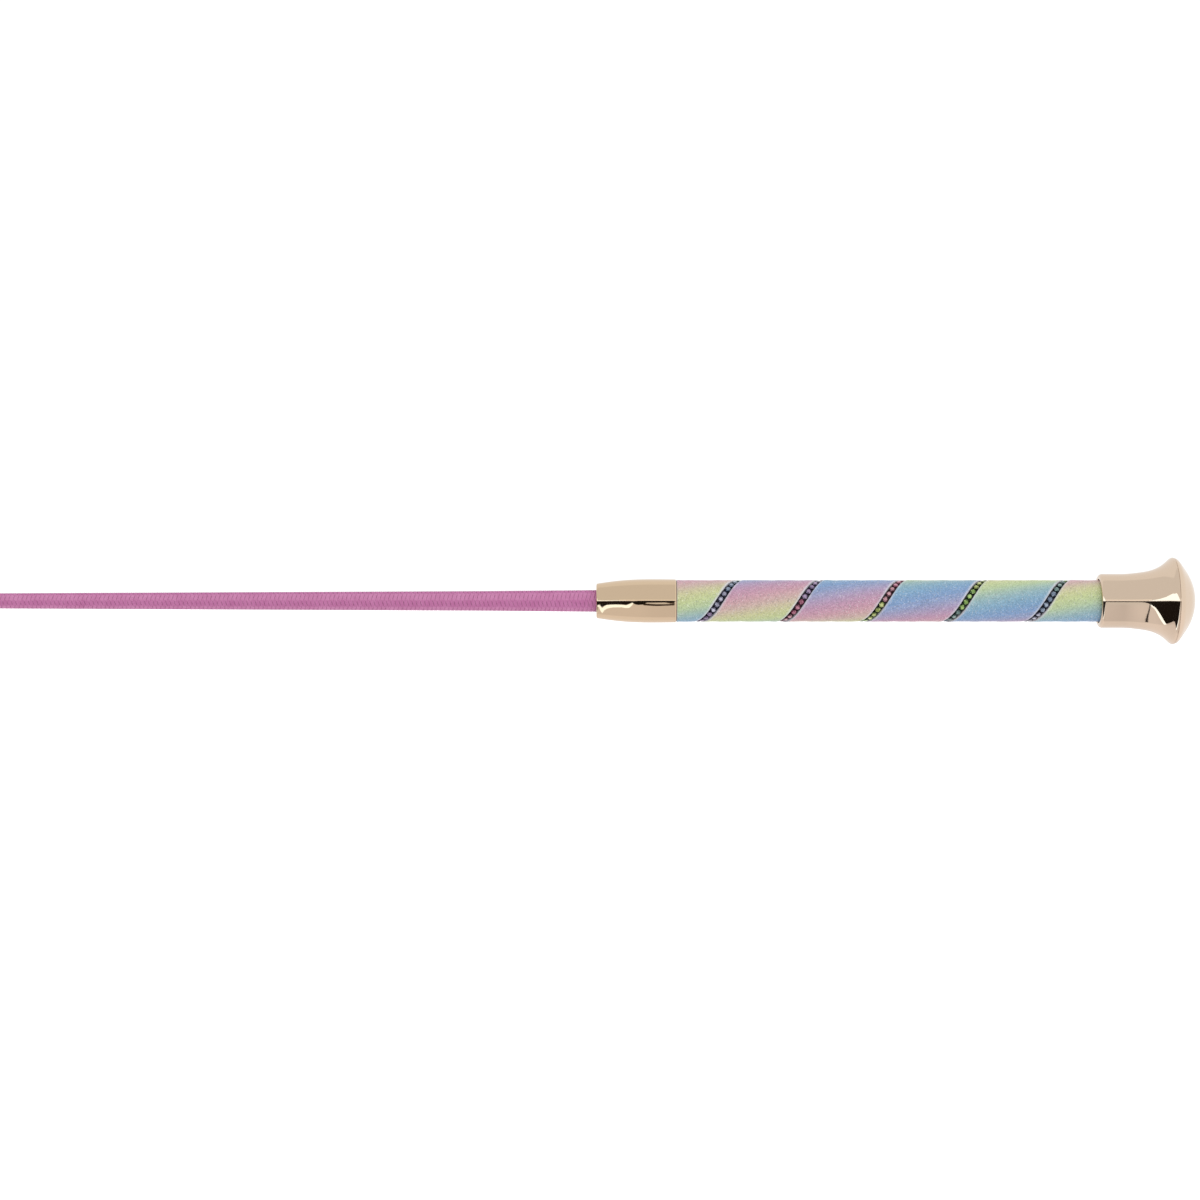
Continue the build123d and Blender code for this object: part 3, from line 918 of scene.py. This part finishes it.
rim_front_x = RIM_X - CAP_RECESS
web_rear_x = GRIP_REAR_X + CAP_WEB_BACK
web_front_x = web_rear_x - CAP_WEB
bore_end_x = WRAP_END_X + JOIN_GAP
flare = spline(
    [(GRIP_REAR_X + CAP_COLLAR, CAP_COLLAR_R)] + [(GRIP_REAR_X + back, r) for back, r in CAP_FLARE]
    + [(RIM_X, CAP_RIM_R)], (1, 0), (1, 0), 90)
bell = [(GRIP_REAR_X, CAP_COLLAR_R)] + flare + [
    (RIM_X, CAP_RECESS_R), (rim_front_x, CAP_RECESS_R), (rim_front_x, CAP_STEP_R), (web_rear_x, CAP_FLOOR_R),
    (web_rear_x, SCREW_HOLE_R), (web_front_x, SCREW_HOLE_R), (web_front_x, TUBE_R), (bore_end_x, TUBE_R),
    (bore_end_x, CAP_BORE_R), (GRIP_REAR_X, CAP_BORE_R)]
bell = rounded(bell, {0: CAP_MOUTH_ROUND, len(flare): RIM_ROUND, len(bell) - 1: CAP_BORE_ROUND})
lathe("cap_bell_shell", bell, cap_gold, ["cap_bell"])

DOME_EDGE_R = 18.75
# Dome's outline as (distance behind the rim, radius)
DOME_OUTLINE = [(3.4, 16.0), (6.0, 12.2), (8.4, 7.0)]
CAVITY_R = 13.8
CAVITY_H = 7.8
CAVITY_POINTS = 20

dome_edge_x = RIM_X + JOIN_GAP
spigot_x = rim_front_x + JOIN_GAP
spigot_r = CAP_RECESS_R - JOIN_GAP
dome_curve = spline(
    [(dome_edge_x, DOME_EDGE_R)] + [(RIM_X + back, r) for back, r in DOME_OUTLINE] + [(CAP_END_X, 0)],
    (1, 0), (0, -1), 90)
ball_r = (CAVITY_R**2 + CAVITY_H**2) / (2 * CAVITY_H)
ball_x = RIM_X + CAVITY_H - ball_r
cavity = []
for a in np.linspace(0, math.asin(CAVITY_R / ball_r), CAVITY_POINTS):
    cavity.append((ball_x + ball_r * math.cos(a), ball_r * math.sin(a)))
dome = dome_curve[:-1] + [(CAP_END_X, 0)] + cavity + [
    (spigot_x, CAVITY_R), (spigot_x, spigot_r), (dome_edge_x, spigot_r)]
lathe("cap_dome_shell", rounded(dome, {0: RIM_ROUND}), cap_gold, ["cap_dome"])

# ---------- glitter wrap

EDGE = 0.38
NEAR_EDGE = np.array([0, 0.2, 0.4, 0.7, 1.1, 1.6])
MIDDLE_COLUMNS = 21
COLUMNS_ON_TOP = 2 * len(NEAR_EDGE) + MIDDLE_COLUMNS - 3
EDGE_ANGLES = [share * math.pi / 2 for share in (0.33, 0.66, 1.0)]
ROW_DEGREES = 2.5
LEAST_WIDTH = 0.6
FRONT_SWELL = 0.14
FRONT_SWELL_WIDTH = 5
RUBBED_REAR = 1.15
RUBBED_FRONT = 1.6

# Whole turns keep a cycle's share above 0. The rainbow's place is its start, the degrees in a
# full cycle round the strip, and its slide for each millimetre
WHOLE_TURNS = 10
PHASE_START = 0.385
PHASE_DEGREES = 266
PHASE_SLIDE = 0.00484

half_strip = (PITCH - GAP / math.sin(math.atan2(math.tau * WRAP_R, PITCH))) / 2
first_turn = 360 * (WRAP_START_X - half_strip - BAND_X) / PITCH
last_turn = 360 * (WRAP_END_X + half_strip - BAND_X) / PITCH
winding = np.arange(first_turn + 1, last_turn - 1, ROW_DEGREES)
middle = BAND_X + PITCH * winding / 360
left_edge = np.maximum(middle - half_strip, WRAP_START_X)
right_edge = np.minimum(middle + half_strip, WRAP_END_X)
wide_enough = right_edge - left_edge > LEAST_WIDTH
winding, left_edge, right_edge = winding[wide_enough], left_edge[wide_enough], right_edge[wide_enough]


def strip_section(a, b):
    """The strip between a and b: its top from a to b, a rounded edge, the underside, a rounded edge."""
    edge = min(EDGE, (b - a) / 3)
    width = b - a - 2 * edge
    near = NEAR_EDGE * min(1, width / 6)
    across = np.linspace(near[-1], width - near[-1], MIDDLE_COLUMNS)
    across = np.concatenate([near[:-1], across, width - near[-2::-1]])
    corner_r = WRAP_R - edge
    bend = [(edge * math.sin(turn), corner_r + edge * math.cos(turn)) for turn in EDGE_ANGLES]
    line = [(a + edge + place, WRAP_R) for place in across]
    line += [(b - edge + out, r) for out, r in bend]
    line += [(b, TUBE_R), (a, TUBE_R)]
    line += [(a + edge - out, r) for out, r in reversed(bend)]
    return np.array(line)


rows = []
pale = []
for w, a, b in zip(winding, left_edge, right_edge):
    line = strip_section(a, b)
    x = line[:, 0]
    swell = FRONT_SWELL * np.clip(1 - (x - a) / FRONT_SWELL_WIDTH, 0, 1) ** 2
    swell += 0.04 * np.sin(0.031 * w + 0.5 * x) + 0.03 * np.sin(0.083 * w - 1.1 * x)
    line[:, 1] += np.where(line[:, 1] > TUBE_R, swell, 0)
    rows.append(line)
    rear_edge = np.clip(1.25 - (b - x) / RUBBED_REAR, 0, 1) if b < WRAP_END_X else 0
    front_edge = np.clip(0.8 - (x - a) / RUBBED_FRONT, 0, 0.6) if a > WRAP_START_X else 0
    pale.append(np.maximum(rear_edge, front_edge) * np.ones(len(x)))
rows = np.array(rows)
n, m = rows.shape[:2]
theta = np.radians(winding - 180)[:, None]
points = around(rows[..., 0], rows[..., 1], theta).reshape(-1, 3)
i, j = np.arange(n - 1)[:, None], np.arange(m)[None]
faces = np.stack([i * m + j, (i + 1) * m + j, (i + 1) * m + (j + 1) % m, i * m + (j + 1) % m], -1)

# The rear edge, the underside and the strip's two ends are bare cut edges
kinds = np.zeros((n - 1, m), int)
kinds[:, COLUMNS_ON_TOP + 1:m - 1] = 1
faces = faces.reshape(-1, 4).tolist()
kinds = kinds.ravel().tolist()
faces.append(list(range(m)))
faces.append([(n - 1) * m + k for k in range(m)][::-1])
kinds += [1, 1]
phases = PHASE_START + (winding[:, None] / PHASE_DEGREES) - PHASE_SLIDE * rows[..., 0] + WHOLE_TURNS
put("glitter_strip", points, faces, [glitter.material, cut_edge.material], "whip",
    ["glitter_wrap"], sharp=50, indices=kinds,
    floats={"phase": ("POINT", phases.ravel()), "pale": ("POINT", np.array(pale).ravel())})

# ---------- crystals in their settings

girdle_r = CUP_BASE_R + GIRDLE_Z
step = PITCH * SPACING / math.hypot(PITCH, math.tau * girdle_r)
places = np.arange(WRAP_START_X + END_MARGIN, GRIP_REAR_X + END_MARGIN + 1e-6, step)


def band_angle(x):
    return math.tau * (x - BAND_X) / PITCH


def setting_frame(x):
    """Foot, direction along the band, direction across it, outward direction."""
    a = band_angle(x)
    out_dir = around(0, 1, a)
    foot = np.array([x, 0, 0]) + CUP_BASE_R * out_dir
    run = np.array([PITCH / math.tau, CUP_BASE_R * math.sin(a), CUP_BASE_R * math.cos(a)])
    run /= np.linalg.norm(run)
    return foot, run, np.cross(out_dir, run), out_dir


def colour_share(x):
    """How far through the cycle of colours the band is at x."""
    return COLOUR_AT_FRONT + band_angle(x) / math.tau / COLOUR_TURNS


def colour_of(x):
    return COLOURS[round(colour_share(x) * len(COLOURS)) % len(COLOURS)]


def turned_ring(radius, height, sides, offset=0.0):
    angles = [offset + math.tau * k / sides for k in range(sides)]
    return [(radius * math.cos(a), radius * math.sin(a), height) for a in angles]


# A cup's rings as (radius, height), and a claw's path the same way with its half widths
CUP_SIDES = 16
CUP_RINGS = [(0.5, 0.0), (1.28, 0.0), (1.33, 0.06), (1.33, 0.54), (1.30, 0.60), (1.25, 0.58), (1.25, 0.2),
             (0.5, 0.13)]
CLAWS = 4
CLAW_PATH = [(1.37, 0.05), (1.38, 0.50), (1.34, 0.68), (1.22, 0.79), (1.06, 0.83)]
CLAW_WIDTHS = [0.26, 0.24, 0.20, 0.17, 0.11]
CLAW_THICK = 0.07
LINK_X = (1.22, 1.50)
LINK_Y = (-0.32, 0.32)
LINK_Z = (0.02, 0.22)


def cup_unit():
    """One open cup with four claws and the link to the next."""
    points = [p for r, h in CUP_RINGS for p in turned_ring(r, h, CUP_SIDES)]
    faces = []
    for a in range(len(CUP_RINGS)):
        b = (a + 1) % len(CUP_RINGS)
        for k in range(CUP_SIDES):
            q = (k + 1) % CUP_SIDES
            faces.append([a * CUP_SIDES + k, a * CUP_SIDES + q, b * CUP_SIDES + q, b * CUP_SIDES + k])
    parts = [(points, faces)]
    for claw in range(CLAWS):
        turn = math.tau * (claw + 0.5) / CLAWS
        u = np.array([math.cos(turn), math.sin(turn), 0])
        v = np.array([-math.sin(turn), math.cos(turn), 0])
        claw_points = []
        for (r, h), w in zip(CLAW_PATH, CLAW_WIDTHS):
            t = CLAW_THICK
            for du, dv in ((t, w), (t, -w), (-t, -w), (-t, w)):
                claw_points.append(u * (r + du * 0.8) + v * dv + np.array([0, 0, h + du * 0.6]))
        claw_faces = []
        for a in range(0, 4 * len(CLAW_PATH) - 4, 4):
            claw_faces += [[a + k, a + (k + 1) % 4, a + 4 + (k + 1) % 4, a + 4 + k] for k in range(4)]
        parts.append((claw_points, claw_faces + [[3, 2, 1, 0], [16, 17, 18, 19]]))
    link = [(x, y, z) for x in LINK_X for y in LINK_Y for z in LINK_Z]
    box_faces = [[0, 1, 3, 2], [4, 6, 7, 5], [0, 4, 5, 1], [2, 3, 7, 6], [0, 2, 6, 4], [1, 5, 7, 3]]
    parts.append((link, box_faces))
    return joined(parts)


# A stone's rings, with heights over its girdle
TABLE_R, TABLE_H = 0.72, 0.46
STAR_R, STAR_H = 0.985, 0.27
GIRDLE_H = 0.06
BACK_R, BACK_Z = 0.35, 0.18
LEAN = 0.06


def stone_unit():
    """A brilliant: table, star, kite and girdle facets over a pointed back."""
    table = turned_ring(TABLE_R, GIRDLE_Z + TABLE_H, 8)
    middle_ring = turned_ring(STAR_R, GIRDLE_Z + STAR_H, 8, math.tau / 16)
    girdle = turned_ring(CRYSTAL_R, GIRDLE_Z + GIRDLE_H, 16)
    under = turned_ring(CRYSTAL_R, GIRDLE_Z, 16)
    back = turned_ring(BACK_R, BACK_Z, 16)
    points = table + middle_ring + girdle + under + back
    faces = [list(range(8))]
    for k in range(8):
        q = (k + 1) % 8
        faces.append([k, 8 + k, q])
        faces.append([k, 8 + (k - 1) % 8, 16 + 2 * k, 8 + k])
        faces.append([8 + k, 16 + 2 * k, 16 + 2 * k + 1])
        faces.append([8 + k, 16 + 2 * k + 1, 16 + (2 * k + 2) % 16])
    for k in range(16):
        q = (k + 1) % 16
        faces.append([16 + k, 32 + k, 32 + q, 16 + q])
        faces.append([32 + k, 48 + k, 48 + q, 32 + q])
    faces.append([48 + k for k in range(16)][::-1])
    return np.array(points), faces


def placed(unit, x, turn=0.0, lean=(0.0, 0.0)):
    """A unit on the band at x, turned on its own axis and leaning a little."""
    points, faces = unit
    across, along, up = np.asarray(points, float).T
    c, s = math.cos(turn), math.sin(turn)
    local = np.stack([across * c - along * s, across * s + along * c, up], 1)
    local[:, 2] += lean[0] * local[:, 0] + lean[1] * local[:, 1]
    foot, run, side, out_dir = setting_frame(x)
    return foot + local[:, :1] * run + local[:, 1:2] * side + local[:, 2:] * out_dir, faces


cup = cup_unit()
points, faces = joined([placed(cup, x) for x in places])
shares = np.repeat([colour_share(x) + WHOLE_TURNS for x in places], len(cup[0]))
put("crystal_settings", points, faces, [setting.material], "whip", ["crystal_cups"],
    sharp=40, floats={"share": ("POINT", shares)})

stone = stone_unit()
stones = {colour: [] for colour in COLOURS}
painted_facet_lights = {colour: [] for colour in COLOURS}
for x in places:
    colour = colour_of(x)
    turn = random.uniform(0, math.tau)
    lean = (random.uniform(-LEAN, LEAN), random.uniform(-LEAN, LEAN))
    stones[colour].append(placed(stone, x, turn, lean))
    # A facet's painted light runs from 0, painted shade, to 1, painted highlight: the table is painted
    # lighter, and some facets get a painted glint
    facets = [random.uniform(0.0, 0.42) + random.choice((0, 0, 0, 0, 0.5)) for _ in stone[1]]
    facets[0] = random.uniform(0.45, 0.9)
    painted_facet_lights[colour] += facets
for colour in COLOURS:
    points, faces = joined(stones[colour])
    look = crystal_look(colour, *CRYSTALS[colour])
    put("stones_" + colour, points, faces, [look], "whip", ["crystals_" + colour],
        smooth=False, floats={"painted_facet_light": ("FACE", painted_facet_lights[colour])})

# ---------- tip binding

THREAD_R = 0.19
THREAD_PITCH = 1.96 * THREAD_R
THREAD_MARGIN = 0.25
bound_length = WHIPPING_END_X - TIP_X - 2 * THREAD_MARGIN
turns = bound_length / THREAD_PITCH
t = np.linspace(0, 1, int(turns * 24))
x = TIP_X + THREAD_MARGIN + t * bound_length
r = cover_r(x) + THREAD_R * 0.95
a = t * turns * math.tau
centres = around(x, r, a)
outward = around(np.zeros(len(t)), 1.0, a)
points, faces = sweep(centres, outward, np.tile((1.0, 0, 0), (len(t), 1)), ring(THREAD_R, 6))
put("tip_binding", points, faces, [binding.material], "whip", ["tip_whipping"])

# ---------- lash

# Laid cord: three yarns round each other, from inside the tip into the knot
YARNS = 3
YARN_R = 0.56
YARN_OFFSET = 0.55
YARN_LAY = 6.2
YARN_GROOVES = 5
GROOVE_DEPTH = 0.05
YARN_SIDES = 20
CORD_STEPS = 150
CORD_IN_TIP = 1.0
CORD_IN_KNOT = 0.6

BEND_START = 0.4
BEND_END = -3.6

cord_start, cord_end = TIP_X + CORD_IN_TIP, KNOT_X + CORD_IN_KNOT
yarn_section = []
for k in range(YARN_SIDES):
    a = math.tau * k / YARN_SIDES
    r = YARN_R * (1 + GROOVE_DEPTH * math.cos(YARN_GROOVES * a))
    yarn_section.append((r * math.cos(a), r * math.sin(a)))
parts = []
x = np.linspace(cord_start, cord_end, CORD_STEPS)
for yarn in range(YARNS):
    centres = around(x, YARN_OFFSET, (x - cord_start) / YARN_LAY * math.tau + yarn * math.tau / YARNS)
    first, second = frames(centres)
    parts.append(sweep(centres, first, second, yarn_section))
points, faces = joined(parts)
bend = ("whip", "lash_upper", ((TIP_X + BEND_START) * MM, 0, 0), ((TIP_X + BEND_END) * MM, 0, 0))
put("lash_cord_laid", points, faces, [pink_thread], bend, ["lash_cord"])

# Knot: a trefoil with its axis along the lash
KNOT_SCALE = 0.46
KNOT_STRETCH = 1.495
KNOT_CORD_R = 0.66
t = np.linspace(0, math.tau, 160, endpoint=False)
knot_path = np.stack([
    KNOT_X - KNOT_STRETCH * KNOT_SCALE * np.sin(3 * t),
    KNOT_SCALE * (np.sin(t) + 2 * np.sin(2 * t)),
    KNOT_SCALE * (np.cos(t) - 2 * np.cos(2 * t))], 1)
first, second = frames(knot_path, True)
points, faces = sweep(knot_path, first, second, ring(KNOT_CORD_R, 14), closed=True)
put("lash_knot_tied", points, faces, [pink_thread], "lash_end", ["lash_knot"])

# Tassel: threads that fan out from a bound neck, spread evenly by the golden angle
TASSEL_THREADS = 84
TASSEL_THREAD_R = 0.15
GOLDEN_ANGLE = 2.399963
TASSEL_START_R = 1.15
TASSEL_END_R = 3.1
TASSEL_IN_KNOT = 1.2
FAN_START = 0.2
BINDING_R = 0.19
BINDING_RING_R = 1.36
BINDING_TURNS = 7
BINDING_BACK = 0.2
BINDING_LENGTH = 2.6
parts = []
for thread in range(TASSEL_THREADS):
    share = math.sqrt((thread + 0.5) / TASSEL_THREADS)
    start_r, end_r = TASSEL_START_R * share, TASSEL_END_R * share
    drift = random.uniform(-0.5, 0.5)
    length = (NECK_X - LASH_END_X) * random.uniform(0.93, 1.0)
    t = np.linspace(0, 1, 14)
    x = NECK_X + TASSEL_IN_KNOT - (length + TASSEL_IN_KNOT) * t
    spread = start_r + (end_r - start_r) * np.clip((t - FAN_START) / (1 - FAN_START), 0, 1) ** 1.3
    turn = thread * GOLDEN_ANGLE + drift * t + 0.12 * np.sin(7 * t + thread)
    centres = around(x, spread, turn)
    first, second = frames(centres)
    parts.append(sweep(centres, first, second, ring(TASSEL_THREAD_R, 6)))
t = np.linspace(0, 1, BINDING_TURNS * 24)
centres = around(NECK_X - BINDING_BACK - BINDING_LENGTH * t, BINDING_RING_R, t * BINDING_TURNS * math.tau)
first, second = frames(centres)
parts.append(sweep(centres, first, second, ring(BINDING_R, 8)))
points, faces = joined(parts)
put("lash_tassel_threads", points, faces, [pink_thread], "lash_end", ["lash_tassel"])

# ---------- finishes of the CAD nodes that stay

glass_rod = Look("fibreglass", linear(222, 214, 190), 0.3)
fibres = glass_rod.noise(900, 4, 0.6, glass_rod.stretched((0.02, 1, 1)))
glass_tones = [(0.3, linear(206, 196, 166)), (0.7, linear(234, 228, 206))]
glass_rod.use(glass_rod.ramp(fibres, glass_tones), "Base Color")
glass_rod.set("Coat Weight", 0.4)
core = Look("handle_core", linear(46, 46, 50), 0.5)
core.use(core.ramp(core.noise(600, 3), [(0.3, linear(36, 36, 40)), (0.7, linear(60, 60, 64))]), "Base Color")
core.bump(core.noise(1200, 3), 0.3, 0.0001)
wood = Look("plug_wood", linear(180, 140, 96), 0.6)
rings = wood.add("ShaderNodeTexWave", wave_type="RINGS", rings_direction="X")
rings.inputs["Scale"].default_value = 260
rings.inputs["Distortion"].default_value = 3.0
wood.link(wood.coords, rings.inputs["Vector"])
wood_tones = [(0.2, linear(150, 112, 74)), (0.8, linear(200, 162, 116))]
wood.use(wood.ramp(rings.outputs["Fac"], wood_tones), "Base Color")
steel = Look("screw_steel", linear(190, 190, 194), 0.3, 1.0)
turning_marks = steel.noise(700, 3, 0.6, steel.stretched((6, 1, 1)))
steel.use(steel.spread(turning_marks, 0.22, 0.42), "Roughness")

finishes = {"core_rod": glass_rod, "butt_whipping": binding, "handle_tube": core, "butt_plug": wood,
            "cap_screw": steel, "crystal_tape": tape}
for node, look in finishes.items():
    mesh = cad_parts[node].data
    mesh.materials.clear()
    mesh.materials.append(look.material)
